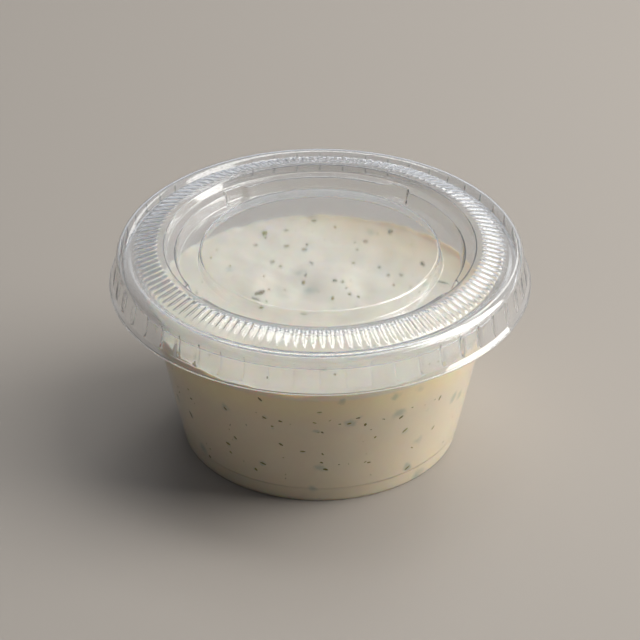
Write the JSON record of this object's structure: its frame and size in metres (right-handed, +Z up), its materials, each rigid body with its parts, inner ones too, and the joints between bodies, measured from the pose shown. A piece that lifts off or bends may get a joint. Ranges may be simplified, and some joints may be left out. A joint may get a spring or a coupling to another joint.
{
  "type": "tzatziki dip",
  "caption": "Cream herb dip filling a clear tapered portion cup, shut with a clear press-on lid that has a ribbed slope, a round moat and a raised middle disc.",
  "frame": {"origin": "centre of the foot, on the surface that the cup stands on", "axes": "+Z up along the cup's axis; the viewer of the picture stands on the -Y side, with +X to the right"},
  "size_m": [0.076, 0.076, 0.0392],
  "materials": {
    "clear_cup": "clear thin thermoformed plastic, glossy",
    "clear_lid": "clear thin thermoformed plastic, glossy, with moulded ribs",
    "herb_dip": "smooth satin cream with small green herb flecks"
  },
  "bodies": {
    "root": {"cup": "clear_cup", "lid": "clear_lid", "dip": "herb_dip"}
  },
  "joints": []
}
